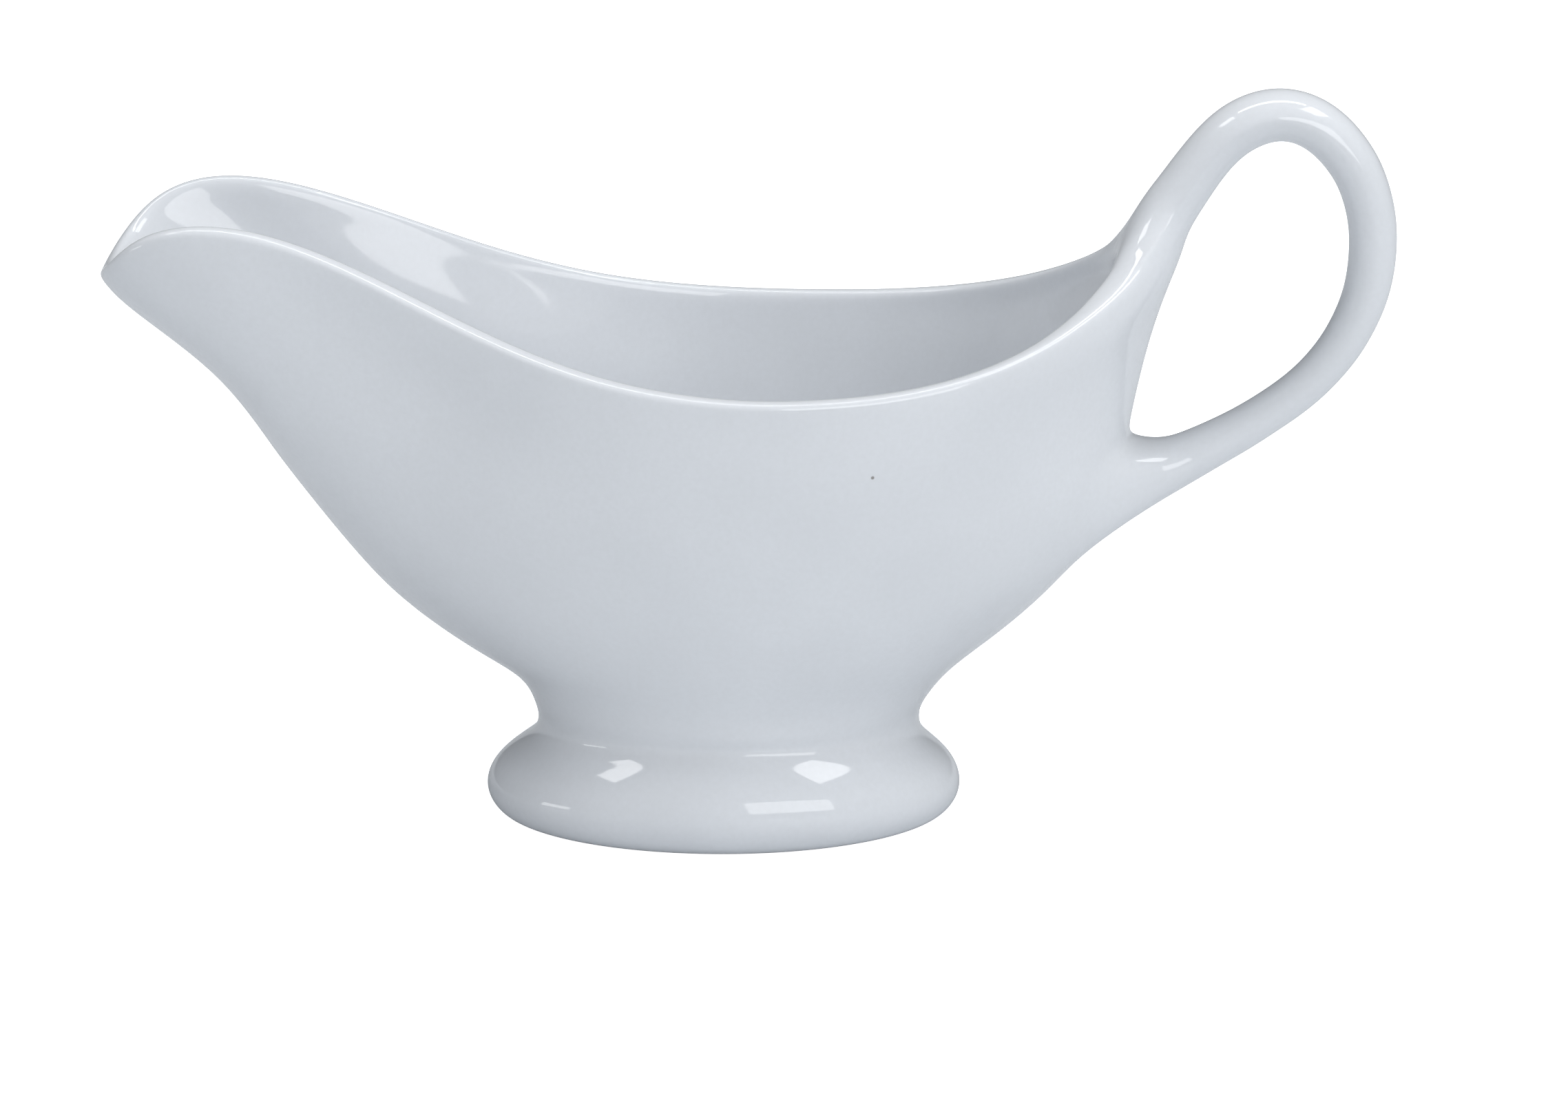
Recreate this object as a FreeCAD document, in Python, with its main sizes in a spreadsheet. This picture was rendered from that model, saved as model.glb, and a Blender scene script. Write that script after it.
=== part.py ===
"""A glazed porcelain gravy boat: an oval bowl with a spout, a pedestal foot and a high loop handle.

The three castings are stuck together with slip before the firing: the bowl stands face to face on the
foot, and both ends of the handle are cut to the back of the bowl. Everything is in millimetres. The
origin is the centre of the foot on the table, +Z is up, the spout points along -X and the handle
along +X. The boat is the same on both sides of the XZ plane.
"""

import FreeCAD, Part
import Sketcher
import math
import os

from FreeCAD import Vector

# ---------------------------------------------------------------- driving sizes
# Alias in the sheet, value, and what it measures.
SIZES = [
    ("foot_half_length", 39.0, "widest half length of the foot"),
    ("foot_half_width", 29.5, "widest half width of the foot"),
    ("bulge_height", 5.8, "height of the widest oval"),
    ("sole_inset", 3.0, "from the widest oval in to the ring on the table"),
    ("sole_breadth", 3.6, "breadth of that ring"),
    ("toe_height", 1.6, "height of the oval that rounds the lower edge"),
    ("toe_inset", 1.2, "from the widest oval in to that one"),
    ("instep_height", 10.4, "height of the oval between bulge and waist"),
    ("instep_inset", 4.4, "from the widest oval in to that one"),
    ("waist_height", 15.6, "height of the narrowest oval"),
    ("waist_inset", 8.0, "from the widest oval in to the narrowest"),
    ("joint_height", 18.6, "height of the slip joint between foot and bowl"),
    ("joint_inset", 7.1, "from the widest oval in to the joint's edge"),
    ("foot_wall", 4.2, "wall of the foot beside its recess"),
    ("foot_roof", 4.4, "thickness of the foot between recess and joint"),
    ("spout_reach", 100.8, "from the origin forward to the lip of the spout"),
    ("back_reach", 72.8, "from the origin back to the root of the handle"),
    ("rim_half_width", 41.6, "widest half width of the rim"),
    ("lip_half_width", 21.6, "half width of the rim at the spout"),
    ("rim_low", 78.5, "height of the rim's lowest point"),
    ("rim_low_place", 10.0, "from the origin back to that point"),
    ("crest_rise", 24.6, "rise from the lowest point to the spout's crest"),
    ("crest_place", 84.0, "from the origin forward to that crest"),
    ("lip_droop", 12.0, "fall from the crest to the tip of the lip"),
    ("back_rise", 18.0, "rise from the lowest point to the handle's root"),
    ("wall", 3.4, "wall of the bowl"),
    ("floor_thickness", 5.0, "floor of the bowl above the slip joint"),
    ("root_wall", 7.0, "extra wall at the back, under the handle's root"),
    ("root_inset", 7.0, "from the rim's outside in to the middle of the handle's upper root"),
    ("loop_reach", 36.4, "from the rim's back end out to the outside of the loop"),
    ("loop_rise", 24.7, "from the rim's back end up to the top of the loop"),
    ("loop_drop", 42.0, "from the rim's back end down to the lower root"),
    ("grip_thickness", 8.0, "thickness of the handle in the plane of the loop"),
    ("grip_breadth", 10.0, "breadth of the handle across that plane"),
]

# The side of the bowl between joint and rim: for each level, its share of the height, and how far the
# front, the back and the sides have come from the joint's oval on their way out to the rim's.
LEVELS = [
    ("neck", 0.06, 0.016, 0.070, 0.060),
    ("turn", 0.15, 0.186, 0.305, 0.250),
    ("belly", 0.27, 0.342, 0.545, 0.480),
    ("flank", 0.42, 0.470, 0.770, 0.690),
    ("breast", 0.58, 0.588, 0.835, 0.840),
    ("shoulder", 0.74, 0.704, 0.880, 0.935),
    ("collar", 0.88, 0.898, 0.932, 0.985),
    ("edge", 0.965, 0.998, 0.984, 0.998),
    ("rim", 1.00, 1.000, 1.000, 1.000),
]

# The loop's centre line from the upper root round to the lower one, as shares of the way from the
# root back to the loop's outside and from the lower root up to its top, then the thickness and the
# breadth there as shares of the grip's.
LOOP = [
    (0.00, 0.400, 1.00, 1.20),
    (0.055, 0.590, 1.22, 1.32),
    (0.17, 0.755, 1.09, 1.14),
    (0.35, 0.913, 1.08, 1.10),
    (0.59, 1.000, 1.12, 1.10),
    (0.825, 0.943, 1.00, 1.08),
    (0.968, 0.795, 0.99, 1.02),
    (1.00, 0.620, 0.97, 0.98),
    (0.952, 0.475, 0.88, 0.94),
    (0.808, 0.337, 0.85, 0.92),
    (0.572, 0.205, 0.86, 0.92),
    (0.30, 0.102, 1.00, 1.04),
    (0.08, 0.035, 1.31, 1.35),
    (-0.32, -0.100, 1.75, 1.70),
]

AROUND = 32  # control points round one ring of the bowl
LOOP_AROUND = 8  # control points round one ring of the handle
LOOP_RINGS = 40  # rings along the handle
SPOUT_SHARE = 0.78  # share of the front half where the spout's rounded lip starts
LIP_POWER = 2.5  # how blunt the lip is in plan; 2 would be an ellipse
BACK_PINCH = 0.42  # how much the rim narrows towards the handle
RIM_SWEEP = 1.3  # how late the rim climbs towards the spout
LIP_FALL = 2.3  # how late it falls again towards the tip
BACK_SWEEP = 2.6  # how late it climbs towards the handle
CUBIC = 3


# ---------------------------------------------------------------- the document and its sheet
doc = FreeCAD.newDocument("gravy_boat")
sheet = doc.addObject("Spreadsheet::Sheet", "sizes")
for row, (alias, value, meaning) in enumerate(SIZES, start=1):
    sheet.set(f"A{row}", meaning)
    sheet.set(f"B{row}", str(value))
    sheet.setAlias(f"B{row}", alias)
doc.recompute()


def size(alias):
    """A driving size as the sheet holds it."""
    return float(sheet.get(alias))


# ---------------------------------------------------------------- the foot
def oval(body, name, half_length, half_width, height):
    """A sketch of one oval at its height; all three are expressions on the sheet."""
    plane = next(f for f in body.Origin.OriginFeatures if f.Role == "XY_Plane")
    sketch = body.newObject("Sketcher::SketchObject", name)
    sketch.AttachmentSupport = [(plane, "")]
    sketch.MapMode = "FlatFace"
    sketch.addGeometry(Part.Ellipse(Vector(30, 0, 0), Vector(0, 20, 0), Vector(0, 0, 0)), False)
    sketch.exposeInternalGeometry(0)
    ellipse, major, minor, centre = 0, 1, 2, 3
    sketch.addConstraint(Sketcher.Constraint("Coincident", ellipse, centre, -1, 1))
    sketch.addConstraint(Sketcher.Constraint("Horizontal", major))
    for line, label, half in ((major, "length", half_length), (minor, "width", half_width)):
        index = sketch.addConstraint(Sketcher.Constraint("Distance", line, 50.0))
        sketch.renameConstraint(index, label)
        sketch.setExpression(f"Constraints.{label}", f"2 * ({half})")
    sketch.setExpression(".AttachmentOffset.Base.z", height)
    return sketch


def foot_oval(body, name, inset, height):
    """An oval the stated distance inside the foot's widest one."""
    return oval(
        body,
        name,
        f"<<sizes>>.foot_half_length - ({inset})",
        f"<<sizes>>.foot_half_width - ({inset})",
        height,
    )


def loft(body, kind, name, sketches):
    """A PartDesign loft through the sketches, in their order."""
    feature = body.newObject(f"PartDesign::{kind}", name)
    feature.Profile = sketches[0]
    feature.Sections = sketches[1:]
    return feature


def make_foot():
    """The pedestal: a flared oval ring with a narrow waist, hollow from below."""
    body = doc.addObject("PartDesign::Body", "foot")
    outside = [
        foot_oval(body, "sole", "<<sizes>>.sole_inset", "0"),
        foot_oval(body, "toe", "<<sizes>>.toe_inset", "<<sizes>>.toe_height"),
        foot_oval(body, "bulge", "0", "<<sizes>>.bulge_height"),
        foot_oval(body, "instep", "<<sizes>>.instep_inset", "<<sizes>>.instep_height"),
        foot_oval(body, "waist", "<<sizes>>.waist_inset", "<<sizes>>.waist_height"),
        foot_oval(body, "joint", "<<sizes>>.joint_inset", "<<sizes>>.joint_height"),
    ]
    loft(body, "AdditiveLoft", "pedestal", outside)
    roof = "<<sizes>>.joint_height - <<sizes>>.foot_roof"
    recess = [
        foot_oval(body, "mouth", "<<sizes>>.sole_inset + <<sizes>>.sole_breadth", "0"),
        foot_oval(body, "wall_inside", "<<sizes>>.instep_inset + <<sizes>>.foot_wall", f"0.5 * ({roof})"),
        foot_oval(body, "roof", "<<sizes>>.waist_inset + <<sizes>>.foot_wall", roof),
    ]
    loft(body, "SubtractiveLoft", "recess", recess)
    return body


# ---------------------------------------------------------------- smooth skins from control rings
def ease(share):
    """0 up to 1 with a level start and end."""
    share = min(1.0, max(0.0, share))
    return share * share * (3 - 2 * share)


def spread_knots(count):
    """Knots and multiplicities of a cubic that starts on its first control point and ends on its last."""
    spans = count - CUBIC
    return list(range(spans + 1)), [CUBIC + 1] + [1] * (spans - 1) + [CUBIC + 1]


def skin(rings):
    """The smooth closed band that a list of rings of control points shapes."""
    around = len(rings[0])
    along_knots, along_mults = spread_knots(len(rings))
    surface = Part.BSplineSurface()
    surface.buildFromPolesMultsKnots(
        [[ring[i] for ring in rings] for i in range(around)],
        [1] * (around + 1),
        along_mults,
        list(range(around + 1)),
        along_knots,
        True,
        False,
        CUBIC,
        CUBIC,
    )
    return surface.toShape()


def solid_of(rings):
    """The solid inside a skin whose first and last rings are flat."""
    band = skin(rings)
    edges = [edge for edge in band.Edges if not edge.isSeam(band.Faces[0])]
    lids = [Part.Face(Part.Wire(edge)) for edge in edges]
    shell = Part.makeShell([band.Faces[0]] + lids)
    shell.sewShape()
    made = Part.Solid(shell)
    if made.Volume < 0:
        made.reverse()
    return made


def true_size(count):
    """How much larger than the true radius a ring of this many control points has to be."""
    return 3 / (2 + math.cos(2 * math.pi / count))


# ---------------------------------------------------------------- the bowl
def rim_height(x):
    """Height of the rim above the table: low behind the middle, high at spout and handle."""
    low = size("rim_low_place")
    if x > low:
        return size("rim_low") + size("back_rise") * ((x - low) / (size("back_reach") - low)) ** BACK_SWEEP
    rise = ease(((low - x) / (low + size("crest_place"))) ** RIM_SWEEP)
    past_crest = max(0.0, -x - size("crest_place")) / (size("spout_reach") - size("crest_place"))
    return size("rim_low") + size("crest_rise") * rise - size("lip_droop") * min(1.0, past_crest) ** LIP_FALL


def spout_plan(forward, half_width, lip_half_width):
    """Half width of the rim's front half; forward runs from 0 at the widest place to 1 at the lip."""
    beak = lip_half_width + (half_width - lip_half_width) * (1 - ease(forward / SPOUT_SHARE))
    past = max(0.0, forward - SPOUT_SHARE) / (1 - SPOUT_SHARE)
    return beak * max(0.0, 1 - past**LIP_POWER) ** (1 / LIP_POWER)


def side_ring(share, front_share, back_share, side_share):
    """One ring of the bowl's outside, from the joint's oval at share 0 to the rim at share 1."""
    joint_length = size("foot_half_length") - size("joint_inset")
    joint_width = size("foot_half_width") - size("joint_inset")
    front = joint_length + (size("spout_reach") - joint_length) * front_share
    back = joint_length + (size("back_reach") - joint_length) * back_share
    width = joint_width + (size("rim_half_width") - joint_width) * side_share
    lip = size("lip_half_width") * width / size("rim_half_width")
    beak_share = ease((share - 0.1) / 0.9)
    ring = []
    for i in range(AROUND):
        angle = 2 * math.pi * i / AROUND
        across, along = math.sin(angle), math.cos(angle)
        half = width * abs(across)
        if along < 0:
            half += beak_share * (spout_plan(-along, width, lip) - half)
            x, rim_x = front * along, size("spout_reach") * along
        else:
            half *= 1 - beak_share * BACK_PINCH * along**4
            x, rim_x = back * along, size("back_reach") * along
        height = size("joint_height") + (rim_height(rim_x) - size("joint_height")) * share
        ring.append(Vector(x, math.copysign(half, across), height))
    return ring


def outward(rings, level, i):
    """The skin's outward normal at one control point, from its neighbours."""
    ring = rings[level]
    round_step = ring[(i + 1) % AROUND] - ring[i - 1]
    up_step = rings[min(level + 1, len(rings) - 1)][i] - rings[max(level - 1, 0)][i]
    return round_step.cross(up_step).normalize()


def inner_ring(rings, level):
    """A ring of the inside: the outer one moved in by the wall, and further under the handle's root."""
    share = level / (len(rings) - 1)
    ring = []
    for i, point in enumerate(rings[level]):
        inside = point - outward(rings, level, i) * size("wall")
        along = max(0.0, math.cos(2 * math.pi * i / AROUND))
        inside.x -= size("root_wall") * along**8 * ease(share * 1.4 - 0.4)
        ring.append(inside)
    return ring


def widened(ring):
    """The ring's control points moved out, so that its curve has the ring's true size."""
    grow = true_size(AROUND)
    return [Vector(p.x * grow, p.y * grow, p.z) for p in ring]


def floor_ring(ring, share, height):
    """A flat ring on the bowl's floor, a share of the given one."""
    return [Vector(p.x * share, p.y * share, height) for p in ring]


def outer_rings():
    """The bowl's outside from the slip joint up to the rim."""
    joint = side_ring(0.0, 0.0, 0.0, 0.0)
    return [joint] + [side_ring(*level[1:]) for level in LEVELS]


def make_bowl(outside):
    """The bowl: outside, over the rounded rim, down the inside and across the floor."""
    inside = [inner_ring(outside, level) for level in range(len(outside) - 1, 1, -1)]
    floor_height = size("joint_height") + size("floor_thickness")
    floor = [floor_ring(inside[-1], share, floor_height) for share in (0.8, 0.5, 0.25)]
    bowl = doc.addObject("Part::Feature", "bowl")
    bowl.Shape = solid_of([widened(ring) for ring in outside + inside + floor])
    return bowl


def make_bowl_blank(outside):
    """The bowl filled up to a shallow dish below the rim: the handle's ends are cut to it."""
    inside = [inner_ring(outside, level) for level in range(len(outside) - 1, len(outside) - 4, -1)]
    middle = size("joint_height") + 0.6 * (size("rim_low") - size("joint_height"))
    dish = []
    for share in (0.85, 0.5, 0.2):
        dish.append([Vector(p.x * share, p.y * share, middle + (p.z - middle) * share) for p in inside[-1]])
    dish.append(floor_ring(inside[-1], 0.1, middle))
    blank = doc.addObject("Part::Feature", "bowl_blank")
    blank.Shape = solid_of([widened(ring) for ring in outside + inside + dish])
    return blank


# ---------------------------------------------------------------- the handle
def loop_curve(points):
    """A smooth curve through the points, with its parameter running evenly from point to point."""
    curve = Part.BSplineCurve()
    curve.interpolate(Points=points, Parameters=list(range(len(points))))
    return curve


def make_handle_blank():
    """The loop as a tube of changing oval section, with ends long enough to be cut to the bowl."""
    rim_end = size("rim_low") + size("back_rise")
    root_x = size("back_reach") - size("root_inset")
    tip_x = size("back_reach") + size("loop_reach") - size("grip_thickness") / 2
    low_z = rim_end - size("loop_drop")
    top_z = rim_end + size("loop_rise") - size("grip_thickness") / 2 * max(row[2] for row in LOOP[4:8])
    centres = []
    sections = []
    for k, (out, up, thick, broad) in enumerate(LOOP):
        centres.append(Vector(root_x + (tip_x - root_x) * out, 0, low_z + (top_z - low_z) * up))
        sections.append(Vector(size("grip_thickness") * thick, size("grip_breadth") * broad, k))
    centre_line = loop_curve(centres)
    section = loop_curve(sections)
    grow = true_size(LOOP_AROUND)
    rings = []
    for k in range(LOOP_RINGS):
        at = (len(LOOP) - 1) * k / (LOOP_RINGS - 1)
        centre = centre_line.value(at)
        forward = centre_line.tangent(at)[0]
        outward_way = Vector(-forward.z, 0, forward.x)
        half = section.value(at) * 0.5 * grow
        ring = []
        for i in range(LOOP_AROUND):
            angle = 2 * math.pi * i / LOOP_AROUND
            ring.append(
                centre + outward_way * (half.x * math.cos(angle)) + Vector(0, half.y * math.sin(angle), 0)
            )
        rings.append(ring)
    blank = doc.addObject("Part::Feature", "handle_blank")
    blank.Shape = solid_of(rings)
    return blank


def make_handle(bowl_blank):
    """The handle with both ends cut to the back of the bowl."""
    handle = doc.addObject("Part::Cut", "handle")
    handle.Base, handle.Tool = make_handle_blank(), bowl_blank
    return handle


# ---------------------------------------------------------------- build, check, write
def check(parts):
    """Stops the build if an object failed or a part isn't one valid solid."""
    for item in doc.Objects:
        if {"Invalid", "Error"} & set(item.State):
            raise RuntimeError(f"{item.Label} failed: {item.State}")
    for part in parts:
        shape = part.Shape
        if shape.isNull() or not shape.isValid() or len(shape.Solids) != 1 or shape.Volume <= 0:
            raise RuntimeError(f"{part.Label} isn't one valid solid: {len(shape.Solids)} solids")


outside = outer_rings()
foot = make_foot()
bowl = make_bowl(outside)
handle = make_handle(make_bowl_blank(outside))
doc.recompute()
parts = [foot, bowl, handle]
check(parts)
os.makedirs("parts", exist_ok=True)
for part in parts:
    part.Shape.exportStep(f"parts/{part.Label}.step")
    print(part.Label, round(part.Shape.Volume / 1000, 2), "ml")
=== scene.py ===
"""The looks of a glazed porcelain gravy boat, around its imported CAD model."""
import math

import bmesh
import bpy
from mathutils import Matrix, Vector


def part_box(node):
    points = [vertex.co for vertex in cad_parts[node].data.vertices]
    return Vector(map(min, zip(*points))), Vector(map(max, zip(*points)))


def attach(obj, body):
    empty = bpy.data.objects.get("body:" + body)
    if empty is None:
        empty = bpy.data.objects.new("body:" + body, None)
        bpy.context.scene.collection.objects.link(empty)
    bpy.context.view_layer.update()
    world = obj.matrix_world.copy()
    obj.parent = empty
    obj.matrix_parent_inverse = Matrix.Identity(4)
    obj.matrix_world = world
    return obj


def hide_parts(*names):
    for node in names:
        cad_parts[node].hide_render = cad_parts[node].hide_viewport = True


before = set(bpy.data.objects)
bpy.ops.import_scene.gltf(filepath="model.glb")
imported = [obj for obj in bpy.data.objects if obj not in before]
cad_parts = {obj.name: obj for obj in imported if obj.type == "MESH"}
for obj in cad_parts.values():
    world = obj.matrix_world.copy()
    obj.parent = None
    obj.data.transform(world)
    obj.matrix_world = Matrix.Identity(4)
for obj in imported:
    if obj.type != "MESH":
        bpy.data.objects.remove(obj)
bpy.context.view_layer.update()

# ------------------------------------------------------------------ the bowl's shell
# The bowl is one slip-cast shell of white porcelain, 3 to 4 mm thick, that runs out into the spout.
# The mould gives its outside; the slip drains out and leaves the inside at an even distance from it.
# Here it is a cage of rings, 32 points each, which Catmull-Clark subdivision rounds off later.
MM = 0.001
COLUMNS = 32  # points round one ring, from number 0 at the back, under the handle, by way of +Y
BOWL_WALL = 3.4
FLOOR_LIFT = 5.2  # the bowl's floor, above the slip joint
FLOOR_RINGS = (0.82, 0.58, 0.34, 0.14)  # sizes of the floor's rings, as shares of the floor's edge
ROOT_WALL = 7.4  # extra wall at the back, where the rim runs up into the handle
ROOT_DIP = 5.0  # how far the cavity's edge stays below the rim's back end there
CREST_RISE = 24.4  # from the rim's lowest point up to the spout's crest
CREST_PLACE = 81.0  # that crest's distance in front of the boat's middle
RIM_LOW_PLACE = 10.0  # the lowest point's distance behind the middle
LIP_DROOP = 13.0  # from the crest down to the tip of the lip
BACK_RISE = 17.5  # from the lowest point up to the rim's back end
ROOT_SWELL = 2.9  # extra rise of the rim where it turns up into the handle
ROOT_SWELL_PLACE = 48.0
RIM_SWEEP = 1.44  # how late the rim climbs towards the spout
LIP_FALL = 2.9  # how late it falls again towards the tip
BACK_SWEEP = 2.6  # how late it climbs towards the handle
LIP_SHARE = 0.78  # share of the front half where the rounded lip starts
LIP_POWER = 2.9  # how blunt the lip is in plan; 2 would be an ellipse
LIP_HALF_WIDTH = 21.6
BEAK_START = 0.1  # share of the height below which the rings are still plain ovals
BACK_PINCH = 0.42  # how much the rim narrows towards the handle
ROUNDING = Vector((0.45, 0.30, 0.70))  # how far subdivision draws the rim in, so the cage is larger

foot_low, foot_high = (Vector(corner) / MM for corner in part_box("foot"))
bowl_low, bowl_high = (Vector(corner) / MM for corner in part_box("bowl"))
handle_low, handle_high = (Vector(corner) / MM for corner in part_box("handle"))
JOINT = foot_high.z
SPOUT_REACH = -bowl_low.x + ROUNDING.x
BACK_REACH = bowl_high.x + ROUNDING.x
RIM_HALF_WIDTH = bowl_high.y + ROUNDING.y
RIM_LOW = bowl_high.z - CREST_RISE + ROUNDING.z

# Level of each ring as a share of the way up from the slip joint to the rim, then how far its front and
# its back reach from the boat's middle, and its half width. The ring at the joint is the foot's own.
LEVELS = [
    (0.035, 32.0, 34.7, 25.0),
    (0.075, 34.3, 37.3, 25.7),
    (0.120, 40.3, 41.3, 26.8),
    (0.190, 47.9, 48.5, 29.0),
    (0.270, 54.8, 55.3, 31.4),
    (0.355, 60.1, 60.9, 33.8),
    (0.455, 65.7, 63.9, 36.0),
    (0.555, 71.0, 65.9, 37.8),
    (0.605, 73.5, 66.5, 38.5),
    (0.680, 77.0, 67.7, 39.4),
    (0.770, 82.1, 69.4, 40.3),
    (0.860, 90.0, 71.7, 40.9),
    (0.940, 97.7, 74.3, 41.3),
    (1.000, SPOUT_REACH, BACK_REACH, RIM_HALF_WIDTH),
]
FIRST_INSIDE = 2  # the lowest of these levels that the inside follows


def ease(share):
    """0 up to 1 with a level start and end."""
    share = min(1.0, max(0.0, share))
    return share * share * (3 - 2 * share)


def rim_height(x):
    """Height of the rim: lowest just behind the middle, high at the spout and at the handle."""
    if x > RIM_LOW_PLACE:
        climb = BACK_RISE * ((x - RIM_LOW_PLACE) / (BACK_REACH - RIM_LOW_PLACE)) ** BACK_SWEEP
        swell = max(0.0, x - ROOT_SWELL_PLACE) / (BACK_REACH - ROOT_SWELL_PLACE)
        return RIM_LOW + climb + ROOT_SWELL * swell**2
    rise = ease(((RIM_LOW_PLACE - x) / (RIM_LOW_PLACE + CREST_PLACE)) ** RIM_SWEEP)
    past_crest = max(0.0, -x - CREST_PLACE) / (SPOUT_REACH - CREST_PLACE)
    return RIM_LOW + CREST_RISE * rise - LIP_DROOP * min(1.0, past_crest) ** LIP_FALL


def spout_plan(forward, half_width, lip):
    """Half width of the front half; forward runs from 0 at the widest place to 1 at the lip."""
    beak = lip + (half_width - lip) * (1 - ease(forward / LIP_SHARE))
    past = max(0.0, forward - LIP_SHARE) / (1 - LIP_SHARE)
    return beak * max(0.0, 1 - past**LIP_POWER) ** (1 / LIP_POWER)


def side_ring(share, front, back, width):
    """One ring of the outside."""
    beak_share = ease((share - BEAK_START) / (1 - BEAK_START))
    lip = LIP_HALF_WIDTH * width / RIM_HALF_WIDTH
    points = []
    for i in range(COLUMNS):
        angle = 2 * math.pi * i / COLUMNS
        across, along = math.sin(angle), math.cos(angle)
        half = width * abs(across)
        if along < 0:
            half += beak_share * (spout_plan(-along, width, lip) - half)
            x, rim_x = front * along, SPOUT_REACH * along
        else:
            half *= 1 - beak_share * BACK_PINCH * along**4
            x, rim_x = back * along, BACK_REACH * along
        height = JOINT + (rim_height(rim_x) - JOINT) * share
        points.append(Vector((x, math.copysign(half, across), height)))
    return points


def moved_in(rings, level, i, distance):
    """A ring's point, moved in along the skin's normal."""
    round_step = rings[level][(i + 1) % COLUMNS] - rings[level][i - 1]
    up_step = rings[min(level + 1, len(rings) - 1)][i] - rings[max(level - 1, 0)][i]
    return rings[level][i] - round_step.cross(up_step).normalized() * distance


def inner_ring(rings, level):
    """The ring inside that faces one outside; high up at the back the wall is thicker."""
    share = LEVELS[level][0]
    points = []
    for i in range(COLUMNS):
        point = moved_in(rings, level, i, BOWL_WALL)
        root = max(0.0, math.cos(2 * math.pi * i / COLUMNS)) ** 8
        point.x -= ROOT_WALL * root * ease(share * 1.4 - 0.4)
        point.z -= ROOT_DIP * root**3 * ease(share * 4 - 3)
        points.append(point)
    return points


def shrunk(points, share, height):
    """A level ring, a share of the size of another."""
    return [Vector((p.x * share, p.y * share, height)) for p in points]


outside = [side_ring(*level) for level in LEVELS]
inside = [inner_ring(outside, level) for level in range(len(LEVELS) - 1, FIRST_INSIDE - 1, -1)]
bowl_floor = [shrunk(inside[-1], share, JOINT + FLOOR_LIFT) for share in FLOOR_RINGS]

# ------------------------------------------------------------------ the foot
# The pedestal is cast porcelain: an oval ring with a rolled bulge and a waist, hollow from below.
# It is stuck to the bowl with slip, and the seam is sponged away. Its section is swept round an oval.
NECK_SHIFT = 0.9  # the bowl was set this far behind the middle of the foot
NECK_SPREAD = 0.105  # the neck is this much rounder in plan than the foot
NECK_START, NECK_END = 6.0, 15.0  # heights between which the shift and the spread come in
RECESS_RINGS = (0.62, 0.34, 0.14)  # sizes of the rings of the recess's roof, as shares of its edge
FOOT_SECTION = [  # distance in from the widest oval, height, and how much higher on the two long sides
    (7.15, 18.6, 0.0),
    (7.8, 16.4, 0.7),
    (7.6, 14.0, 2.0),
    (6.2, 12.1, 2.6),
    (4.0, 10.3, 2.6),
    (1.3, 8.3, 1.6),
    (-0.15, 5.6, 1.1),
    (0.0, 2.9, 0.6),
    (1.6, 0.75, 0.3),
    (3.2, -0.05, 0.0),
    (5.0, -0.05, 0.0),
    (6.3, 0.4, 0.0),
    (7.2, 2.4, 0.0),
    (8.6, 6.6, 0.0),
    (10.0, 10.6, 0.0),
    (12.5, 13.8, 0.0),
    (16.0, 14.6, 0.0),
]


def node(tree, kind, inputs=(), **settings):
    """Adds a node. inputs gives each socket a value, or the output that is linked to it."""
    made = tree.nodes.new(kind)
    for name, value in settings.items():
        setattr(made, name, value)
    for name, value in dict(inputs).items():
        if isinstance(value, bpy.types.NodeSocket):
            tree.links.new(value, made.inputs[name])
        else:
            made.inputs[name].default_value = value
    return made


def new_tree(name, sizes):
    """A geometry tree with named size inputs. Returns it with its input and output nodes."""
    tree = bpy.data.node_groups.new(name, "GeometryNodeTree")
    tree.interface.new_socket("Geometry", in_out="INPUT", socket_type="NodeSocketGeometry")
    for size, kind in sizes.items():
        tree.interface.new_socket(size, in_out="INPUT", socket_type=f"NodeSocket{kind}")
    tree.interface.new_socket("Geometry", in_out="OUTPUT", socket_type="NodeSocketGeometry")
    return tree, tree.nodes.new("NodeGroupInput"), tree.nodes.new("NodeGroupOutput")


def grown(curve, tree, sizes):
    """The points of the mesh that a tree makes of a curve."""
    holder = bpy.data.objects.new(tree.name, curve)
    bpy.context.collection.objects.link(holder)
    modifier = holder.modifiers.new(tree.name, "NODES")
    modifier.node_group = tree
    for item in tree.interface.items_tree:
        if item.in_out == "INPUT" and item.name in sizes:
            modifier[item.identifier] = sizes[item.name]
    graph = bpy.context.evaluated_depsgraph_get()
    mesh = bpy.data.meshes.new_from_object(holder.evaluated_get(graph))
    bpy.data.objects.remove(holder)
    return [vertex.co.copy() for vertex in mesh.vertices]


def finish_tree(tree, geometry, group_out, material):
    """Realizes a tree's instances, gives the result its material and sends it out."""
    real = node(tree, "GeometryNodeRealizeInstances", {"Geometry": geometry})
    clad = node(tree, "GeometryNodeSetMaterial", {"Geometry": real.outputs[0], "Material": material})
    tree.links.new(clad.outputs[0], group_out.inputs[0])


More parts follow.
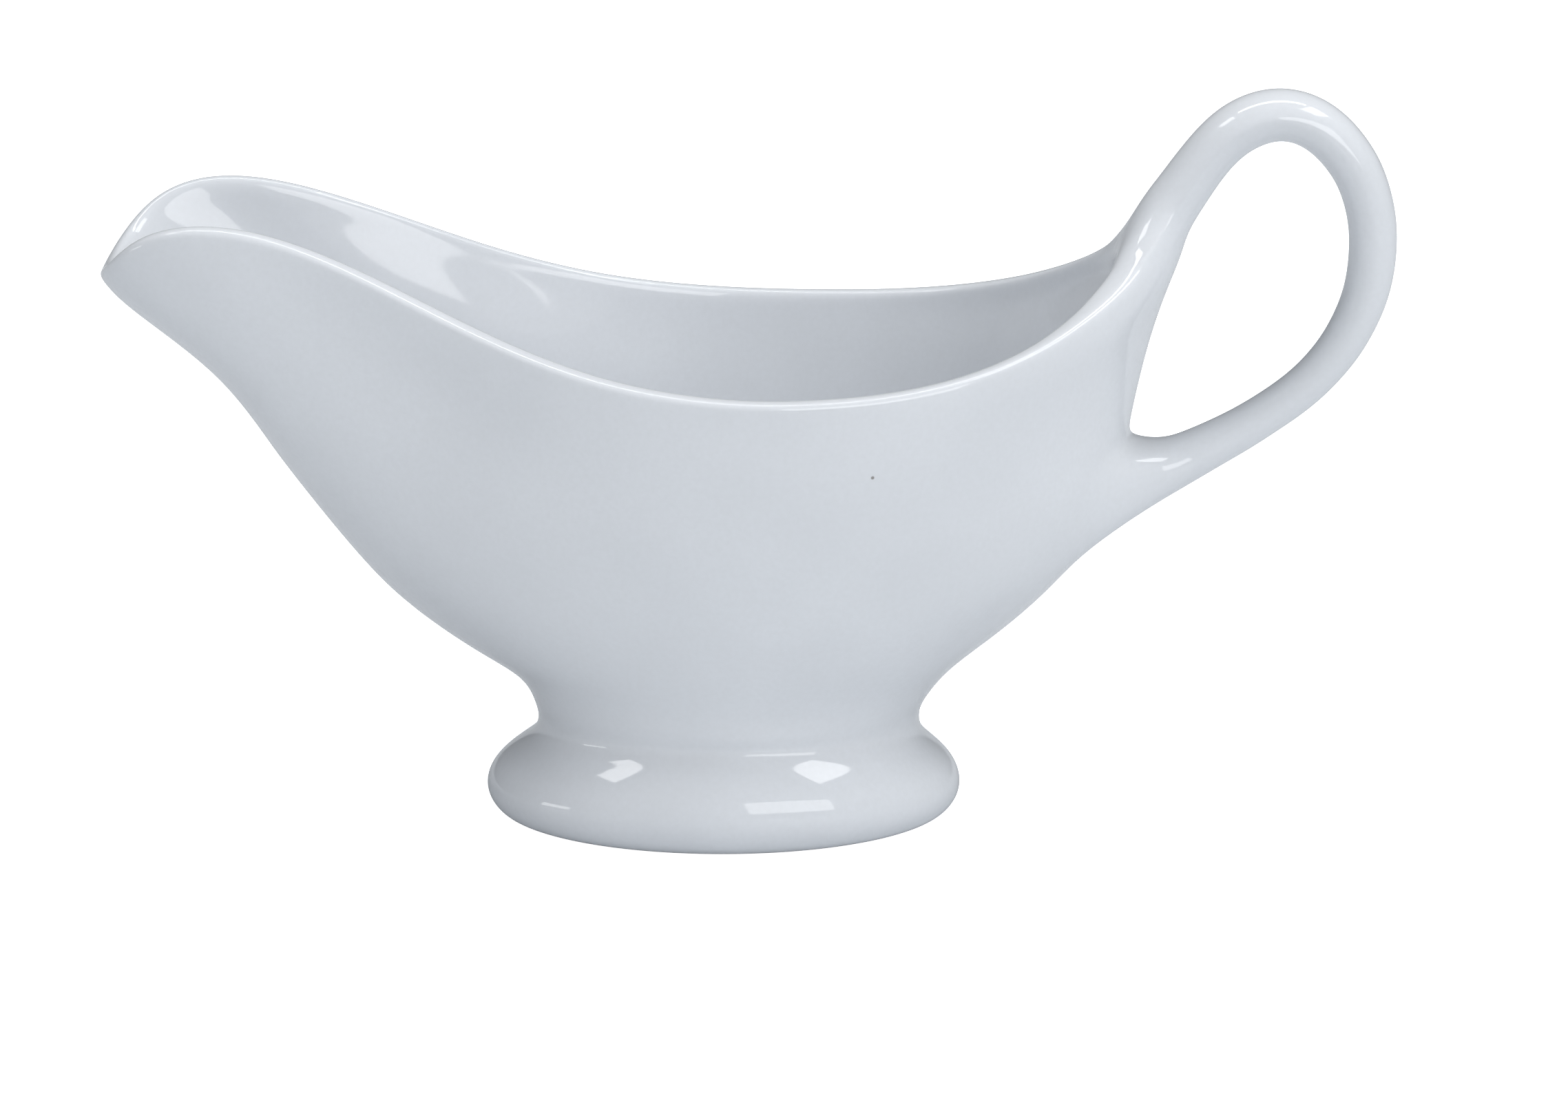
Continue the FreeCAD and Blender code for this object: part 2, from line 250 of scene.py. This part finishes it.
def oval_sweep(material):
    """Sweeps a section round an oval: x of the section points out of the oval, and -y up."""
    tree, group_in, group_out = new_tree(
        "foot sweep", {"Half length": "Float", "Half width": "Float", "Points": "Int"}
    )
    circle = node(tree, "GeometryNodeCurvePrimitiveCircle", {"Resolution": group_in.outputs["Points"]})
    circle.inputs["Radius"].default_value = 1.0
    halves = node(tree, "ShaderNodeCombineXYZ", {"Z": 1.0})
    tree.links.new(group_in.outputs["Half length"], halves.inputs["X"])
    tree.links.new(group_in.outputs["Half width"], halves.inputs["Y"])
    oval = node(
        tree, "GeometryNodeTransform", {"Geometry": circle.outputs[0], "Scale": halves.outputs[0]}
    )
    upright = node(tree, "GeometryNodeSetCurveNormal", {"Curve": oval.outputs[0]}, mode="Z_UP")
    band = node(
        tree,
        "GeometryNodeCurveToMesh",
        {"Curve": upright.outputs[0], "Profile Curve": group_in.outputs["Geometry"]},
    )
    finish_tree(tree, band.outputs[0], group_out, material)
    return tree


def open_curve(name, kind, points):
    """A curve object's data with one open spline through the points."""
    curve = bpy.data.curves.new(name, "CURVE")
    curve.dimensions = "3D"
    spline = curve.splines.new(kind)
    places = spline.bezier_points if kind == "BEZIER" else spline.points
    places.add(len(points) - 1)
    for place, point in zip(places, points):
        place.co = point if kind == "BEZIER" else (*point, 1)
    return curve


porcelain = bpy.data.materials.new("porcelain_clear_glazed")
bisque = bpy.data.materials.new("porcelain_bare_bisque")
bisque.use_nodes = True


def grown_ring(sides):
    """How much larger a ring of so many points has to be, as subdivision draws it in."""
    return 3 / (2 + math.cos(2 * math.pi / sides))


grow = grown_ring(COLUMNS)
section = open_curve(
    "foot section", "POLY", [(-inset, -height, 0) for inset, height, _ in FOOT_SECTION]
)
swept = grown(
    section,
    oval_sweep(porcelain),
    {"Half length": foot_high.x * grow, "Half width": foot_high.y * grow, "Points": COLUMNS},
)
foot_rings = [
    [swept[i * len(FOOT_SECTION) + k] for i in range(COLUMNS)] for k in range(len(FOOT_SECTION))
]
for (_, height, side_lift), ring in zip(FOOT_SECTION, foot_rings):
    up_neck = ease((height - NECK_START) / (NECK_END - NECK_START))
    for i, point in enumerate(ring):
        point.x += NECK_SHIFT * up_neck
        point.y *= 1 + NECK_SPREAD * up_neck
        point.z += side_lift * math.sin(2 * math.pi * i / COLUMNS) ** 2
recess_top = [shrunk(foot_rings[-1], share, foot_rings[-1][0].z) for share in RECESS_RINGS]

# ------------------------------------------------------------------ the handle
# The loop is cast solid in its own mould, cut to fit while the clay is firm, and stuck to the bowl with
# slip at both ends. The slip is wiped into fillets, so it seems to grow out of the rim.
SIDES = 12
LOOP_RINGS = 26
BREADTH_RATIO = 1.28  # breadth across the loop over thickness in its plane
LOOP = [  # place along X and Z from the rim's back end, and thickness
    (-1.3, 3.9, 9.2),
    (2.2, 9.0, 8.5),
    (6.0, 14.4, 8.3),
    (12.4, 19.6, 8.7),
    (19.9, 20.3, 8.6),
    (26.9, 15.4, 8.2),
    (31.4, 7.2, 7.9),
    (32.4, -4.2, 7.7),
    (30.2, -12.9, 7.2),
    (24.2, -22.2, 6.7),
    (15.0, -29.6, 6.7),
    (6.2, -34.7, 7.4),
    (0.6, -37.5, 8.6),
]


def loop_sweep(material):
    """Sweeps an oval section along a path whose radius is half the section's thickness."""
    tree, group_in, group_out = new_tree(
        "handle sweep", {"Rings": "Int", "Sides": "Int", "Breadth ratio": "Float"}
    )
    path = node(
        tree,
        "GeometryNodeResampleCurve",
        {"Curve": group_in.outputs["Geometry"], "Count": group_in.outputs["Rings"]},
    )
    level = node(tree, "GeometryNodeSetCurveNormal", {"Curve": path.outputs[0]}, mode="FREE")
    level.inputs["Normal"].default_value = (0, 1, 0)
    circle = node(tree, "GeometryNodeCurvePrimitiveCircle", {"Resolution": group_in.outputs["Sides"]})
    circle.inputs["Radius"].default_value = 1.0
    ratio = node(
        tree, "ShaderNodeCombineXYZ", {"X": group_in.outputs["Breadth ratio"], "Y": 1.0, "Z": 1.0}
    )
    oval = node(
        tree, "GeometryNodeTransform", {"Geometry": circle.outputs[0], "Scale": ratio.outputs[0]}
    )
    radius = node(tree, "GeometryNodeInputRadius")
    tube = node(
        tree,
        "GeometryNodeCurveToMesh",
        {"Curve": level.outputs[0], "Profile Curve": oval.outputs[0], "Scale": radius.outputs[0]},
    )
    finish_tree(tree, tube.outputs[0], group_out, material)
    return tree


rim_end = Vector((BACK_REACH, 0, RIM_LOW + BACK_RISE))
loop_path = open_curve("handle path", "BEZIER", [rim_end + Vector((x, 0, z)) for x, z, _ in LOOP])
for place, (_, _, thickness) in zip(loop_path.splines[0].bezier_points, LOOP):
    place.handle_left_type = place.handle_right_type = "AUTO"
    place.radius = thickness / 2 * grown_ring(SIDES)
swept = grown(
    loop_path,
    loop_sweep(porcelain),
    {"Rings": LOOP_RINGS, "Sides": SIDES, "Breadth ratio": BREADTH_RATIO},
)
loop_rings = [swept[k * SIDES:(k + 1) * SIDES] for k in range(LOOP_RINGS)]

# ------------------------------------------------------------------ the castings joined and glazed
# Slip and one firing make the three castings one body, with no step where they meet. So their cages are
# sewn into one, rounded off by subdivision together, and parted again where the castings meet.
FOOT, BOWL, HANDLE, SOLE = range(4)
SOLE_ROWS = (9, 10)  # the steps of the foot's section that stand on the table, unglazed
ROUNDS = 3  # subdivision steps
RIDGE_CRISPNESS = 0.6  # the same for the ridge on the handle's stem
RIDGE_RINGS = 13  # rings of the loop up which the rim's outer edge runs on as a fading ridge
RIM_CRISPNESS = 0.25  # how far the rim's two edges keep out of the rounding; 1 would be sharp
cage = bmesh.new()
rings = recess_top[::-1] + foot_rings[::-1] + outside + inside + bowl_floor
joint_row = len(recess_top) + len(foot_rings) - 1
rim_row = joint_row + len(outside)


def widened(point, row):
    """A bowl point of the cage, moved out so that the rounded ring has its true size."""
    return point if row <= joint_row else Vector((point.x * grow, point.y * grow, point.z))


grid = [
    [cage.verts.new(widened(point, row) * MM) for point in points] for row, points in enumerate(rings)
]
holes = {"upper": (rim_row - 1, rim_row + 1), "lower": (joint_row + 6, joint_row + 8)}


def in_hole(row, column):
    """True for a face of the grid that a root of the handle takes the place of."""
    return column in (0, 1, COLUMNS - 2, COLUMNS - 1) and any(
        low <= row < high for low, high in holes.values()
    )


for row in range(len(rings) - 1):
    for i in range(COLUMNS):
        if not in_hole(row, i):
            after = (i + 1) % COLUMNS
            face = cage.faces.new(
                (grid[row][i], grid[row][after], grid[row + 1][after], grid[row + 1][i])
            )
            step = joint_row - 1 - row
            face.material_index = BOWL if row >= joint_row else SOLE if step in SOLE_ROWS else FOOT
cage.faces.new(grid[0][::-1]).material_index = FOOT
cage.faces.new(grid[-1]).material_index = BOWL
for low, high in holes.values():
    for column in (-1, 0, 1):
        cage.verts.remove(grid[low + 1][column])


def hole_edge(low, high):
    """The twelve points round a hole, from its +Y side by way of its high row."""
    across = (2, 1, 0, -1, -2)
    high_row = [grid[high][column] for column in across]
    low_row = [grid[low][column] for column in across[::-1]]
    return [grid[low + 1][2], *high_row, grid[low + 1][-2], *low_row]


lower = hole_edge(*holes["lower"])
loop = [[cage.verts.new(point * MM) for point in points] for points in loop_rings]
loop.insert(0, hole_edge(*holes["upper"]))
loop.append(lower[:1] + lower[:0:-1])
for first, second in zip(loop, loop[1:]):
    for k in range(SIDES):
        after = (k + 1) % SIDES
        face = cage.faces.new((first[k], first[after], second[after], second[k]))
        face.material_index = HANDLE
bmesh.ops.recalc_face_normals(cage, faces=cage.faces)
crease = cage.edges.layers.float.new("crease_edge")
for row in (rim_row, rim_row + 1):
    for i in range(2, COLUMNS - 2):
        cage.edges.get((grid[row][i], grid[row][i + 1]))[crease] = RIM_CRISPNESS
for side in (0, SIDES // 2):
    for k, (first, second) in enumerate(zip(loop, loop[1:RIDGE_RINGS + 1])):
        cage.edges.get((first[side], second[side]))[crease] = RIDGE_CRISPNESS * (1 - k / RIDGE_RINGS)
cage_mesh = bpy.data.meshes.new("cage")
cage.to_mesh(cage_mesh)
cage.free()

rounded = bpy.data.objects.new("cage", cage_mesh)
bpy.context.collection.objects.link(rounded)
smooth = rounded.modifiers.new("rounding", "SUBSURF")
smooth.levels = smooth.render_levels = ROUNDS
body = bpy.data.meshes.new_from_object(rounded.evaluated_get(bpy.context.evaluated_depsgraph_get()))
bpy.data.objects.remove(rounded)


def casting(name, own):
    """One casting, cut from the rounded body and closed with flat clay where it meets the others."""
    mesh = bmesh.new()
    mesh.from_mesh(body)
    shading = mesh.verts.layers.float_vector.new("normal before the cut")
    mesh.normal_update()
    for vertex in mesh.verts:
        vertex[shading] = vertex.normal
    others = [face for face in mesh.faces if face.material_index not in own]
    bmesh.ops.delete(mesh, geom=others, context="FACES")
    outer_faces = len(mesh.faces)
    border = [edge for edge in mesh.edges if edge.is_boundary]
    while border:
        loop_edges = [border.pop()]
        ends = set(loop_edges[0].verts)
        grew = True
        while grew:
            more = [edge for edge in border if ends & set(edge.verts)]
            grew = bool(more)
            for edge in more:
                border.remove(edge)
                loop_edges.append(edge)
                ends |= set(edge.verts)
        middle = mesh.verts.new(sum((vertex.co for vertex in ends), Vector()) / len(ends))
        for edge in loop_edges:
            rim_loop = edge.link_loops[0]
            mesh.faces.new((rim_loop.link_loop_next.vert, rim_loop.vert, middle))
    for face in mesh.faces:
        face.smooth = True
        face.material_index = int(face.material_index == SOLE)
    mesh.faces.ensure_lookup_table()
    for face in mesh.faces[outer_faces:]:
        face.smooth = False
    mesh.normal_update()
    normals = []
    for face in mesh.faces:
        for corner in face.loops:
            normals.append(Vector(corner.vert[shading]) if face.smooth else face.normal.copy())
    made = bpy.data.meshes.new(f"{name}_casting")
    mesh.to_mesh(made)
    mesh.free()
    made.attributes.remove(made.attributes["normal before the cut"])
    made.normals_split_custom_set([tuple(normal) for normal in normals])
    made.materials.append(porcelain)
    if SOLE in own:
        made.materials.append(bisque)
    piece = bpy.data.objects.new(f"{name}_casting", made)
    bpy.context.collection.objects.link(piece)
    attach(piece, "root")
    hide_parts(name)
    return piece


foot = casting("foot", (FOOT, SOLE))
bowl = casting("bowl", (BOWL,))
handle = casting("handle", (HANDLE,))


def linear(hex_colour):
    """An sRGB hex colour as the linear RGBA that the shader takes."""
    channels = [int(hex_colour[k:k + 2], 16) / 255 for k in (0, 2, 4)]
    return [c / 12.92 if c <= 0.04045 else ((c + 0.055) / 1.055) ** 2.4 for c in channels] + [1.0]


# Hard-paste porcelain under a clear feldspar glaze, fired to about 1400 degrees: a cool white body that
# clouds very slightly, a wet-looking skin with a shallow ripple, and a few iron specks under the glaze.
CLOUD = 34  # mm, width of one cloud in the body's tone
GRAIN = 0.9  # mm; the real grain is finer, and is drawn as coarse as it needs to show
RIPPLE = 12  # mm, from crest to crest of the glaze's ripple
RIPPLE_HEIGHT = 0.035  # mm
SPECK_SPACING = 19  # mm
SPECK_RADIUS = 0.2  # mm
porcelain.use_nodes = True
tree = porcelain.node_tree
shader = tree.nodes["Principled BSDF"]
shader.inputs["Roughness"].default_value = 0.06
shader.inputs["IOR"].default_value = 1.5
place = node(tree, "ShaderNodeTexCoord").outputs["Object"]
clouds = node(tree, "ShaderNodeTexNoise", {"Vector": place, "Scale": 1000 / CLOUD, "Detail": 2.0})
clouded = node(
    tree, "ShaderNodeMapRange", {"Value": clouds.outputs["Fac"], "From Min": 0.35, "From Max": 0.65}
)
body_tone = node(
    tree,
    "ShaderNodeMixRGB",
    {"Fac": clouded.outputs["Result"], "Color1": linear("DBDEE2"), "Color2": linear("E0E3E7")},
)
grain = node(tree, "ShaderNodeTexNoise", {"Vector": place, "Scale": 1000 / GRAIN, "Detail": 1.0})
grained = node(
    tree,
    "ShaderNodeMapRange",
    {"Value": grain.outputs["Fac"], "From Min": 0.25, "From Max": 0.75, "To Min": 0.0, "To Max": 0.16},
)
grained_tone = node(
    tree,
    "ShaderNodeMixRGB",
    {
        "Fac": grained.outputs["Result"],
        "Color1": body_tone.outputs["Color"],
        "Color2": linear("CFD1D3"),
    },
)
cells = node(tree, "ShaderNodeTexVoronoi", {"Vector": place, "Scale": 1000 / SPECK_SPACING})
speck = node(
    tree,
    "ShaderNodeMapRange",
    {
        "Value": cells.outputs["Distance"],
        "From Min": SPECK_RADIUS / SPECK_SPACING,
        "From Max": 1.7 * SPECK_RADIUS / SPECK_SPACING,
        "To Min": 0.75,
        "To Max": 0.0,
    },
)
speckled = node(
    tree,
    "ShaderNodeMixRGB",
    {
        "Fac": speck.outputs["Result"],
        "Color1": grained_tone.outputs["Color"],
        "Color2": linear("6E675E"),
    },
)
tree.links.new(speckled.outputs["Color"], shader.inputs["Base Color"])
ripple = node(tree, "ShaderNodeTexNoise", {"Vector": place, "Scale": 1000 / RIPPLE, "Detail": 1.0})
skin = node(
    tree,
    "ShaderNodeBump",
    {"Height": ripple.outputs["Fac"], "Distance": RIPPLE_HEIGHT * MM, "Strength": 1.0},
)
tree.links.new(skin.outputs["Normal"], shader.inputs["Normal"])

# Where the foot stands in the kiln its glaze is wiped off, so the ring it stands on is bare fired clay:
# matt, a little warmer and greyer than the glaze, and as fine-grained as an eggshell.
BISQUE_GRAIN = 0.6  # mm; the real grain is finer, and is drawn as coarse as it needs to show
PORE_DEPTH = 0.03  # mm
tree = bisque.node_tree
shader = tree.nodes["Principled BSDF"]
shader.inputs["Roughness"].default_value = 0.75
shader.inputs["IOR"].default_value = 1.5
place = node(tree, "ShaderNodeTexCoord").outputs["Object"]
pores = node(tree, "ShaderNodeTexNoise", {"Vector": place, "Scale": 1000 / BISQUE_GRAIN, "Detail": 3.0})
bare_tone = node(
    tree,
    "ShaderNodeMixRGB",
    {"Fac": pores.outputs["Fac"], "Color1": linear("D2CEC6"), "Color2": linear("E9E5DE")},
)
tree.links.new(bare_tone.outputs["Color"], shader.inputs["Base Color"])
skin = node(
    tree,
    "ShaderNodeBump",
    {"Height": pores.outputs["Fac"], "Distance": PORE_DEPTH * MM, "Strength": 1.0},
)
tree.links.new(skin.outputs["Normal"], shader.inputs["Normal"])

# ------------------------------------------------------------------ the table, the light and the camera
# The boat stands on a white acrylic table that fades to plain white. Two soft boxes above its sides, a
# strip overhead, a window and a low card light it, and the room is brighter in front than behind.
TABLE_HALF = 4.0  # m
floor_mesh = bpy.data.meshes.new("floor")
floor_mesh.from_pydata(
    [(x * TABLE_HALF, y * TABLE_HALF, 0) for x, y in ((-1, -1), (1, -1), (1, 1), (-1, 1))],
    [],
    [(0, 1, 2, 3)],
)
floor = bpy.data.objects.new("floor", floor_mesh)
bpy.context.collection.objects.link(floor)
# Satin white acrylic sheet. Seen straight it also glows, which hides where it ends.
floor_paint = bpy.data.materials.new("white_acrylic_table")
floor_paint.use_nodes = True
floor_shader = floor_paint.node_tree.nodes["Principled BSDF"]
floor_shader.inputs["Base Color"].default_value = linear("DFE2E5")
floor_shader.inputs["Roughness"].default_value = 0.4
floor_shader.inputs["Emission Color"].default_value = linear("FFFFFF")
seen = node(floor_paint.node_tree, "ShaderNodeLightPath")
floor_paint.node_tree.links.new(seen.outputs["Is Camera Ray"], floor_shader.inputs["Emission Strength"])
floor_mesh.materials.append(floor_paint)

BRIGHT_SIDE = (0.24, -0.73, -0.20)  # the room is brightest this way: low, in front, a little right
ROOM_BEHIND, ROOM_IN_FRONT = 0.28, 0.87  # how bright the room's far and near sides are
world = bpy.data.worlds.new("studio")
world.use_nodes = True
tree = world.node_tree
toward = node(tree, "ShaderNodeTexCoord").outputs["Generated"]
facing = node(tree, "ShaderNodeVectorMath", {0: toward, 1: BRIGHT_SIDE}, operation="DOT_PRODUCT")
brightening = node(
    tree,
    "ShaderNodeMapRange",
    {
        "Value": facing.outputs["Value"],
        "From Min": -0.5,
        "From Max": 0.7,
        "To Min": ROOM_BEHIND,
        "To Max": ROOM_IN_FRONT,
    },
)
background = tree.nodes["Background"]
background.inputs["Color"].default_value = linear("E3E6EA")
tree.links.new(brightening.outputs["Result"], background.inputs["Strength"])
bpy.context.scene.world = world
bpy.context.scene.view_settings.view_transform = "Standard"
LIT_HEIGHT = 0.05  # m above the table, the point that every light faces


def softbox(name, azimuth, elevation, distance, width, height, radiance):
    """A flat soft light that faces the boat; azimuth 0 is in front of it, and 90 at its handle."""
    turn, lift = math.radians(azimuth), math.radians(elevation)
    away = Vector((math.sin(turn) * math.cos(lift), -math.cos(turn) * math.cos(lift), math.sin(lift)))
    lamp = bpy.data.lights.new(name, "AREA")
    lamp.shape = "RECTANGLE"
    lamp.size, lamp.size_y = width, height
    lamp.energy = radiance * math.pi * width * height
    made = bpy.data.objects.new(name, lamp)
    bpy.context.collection.objects.link(made)
    made.location = Vector((0, 0, LIT_HEIGHT)) + away * distance
    made.rotation_euler = away.to_track_quat("Z", "Y").to_euler()


# Each light's azimuth and elevation in degrees, then its distance, width and height in metres, and how
# bright its face is.
softbox("left box", -80, 54, 1.3, 0.34, 0.24, 5.5)
softbox("right box", 72, 54, 1.3, 0.62, 0.34, 5.5)
softbox("window", 27, 18, 1.6, 1.0, 0.54, 3.3)
softbox("left card", -74, 3, 1.3, 0.4, 0.14, 4.0)
softbox("overhead box", 180, 86, 1.3, 1.3, 0.17, 9.5)

TARGET = Vector((10.0, 0.0, 42.35)) * MM  # the point that the camera faces
ELEVATION = math.radians(15.5)
DISTANCE = 1.0  # m
camera_data = bpy.data.cameras.new("camera")
camera_data.sensor_width = 36.0
camera_data.lens = 140.05
camera = bpy.data.objects.new("camera", camera_data)
bpy.context.collection.objects.link(camera)
camera.location = TARGET + Vector((0, -math.cos(ELEVATION), math.sin(ELEVATION))) * DISTANCE
camera.rotation_euler = (math.pi / 2 - ELEVATION, 0, 0)
bpy.context.scene.camera = camera
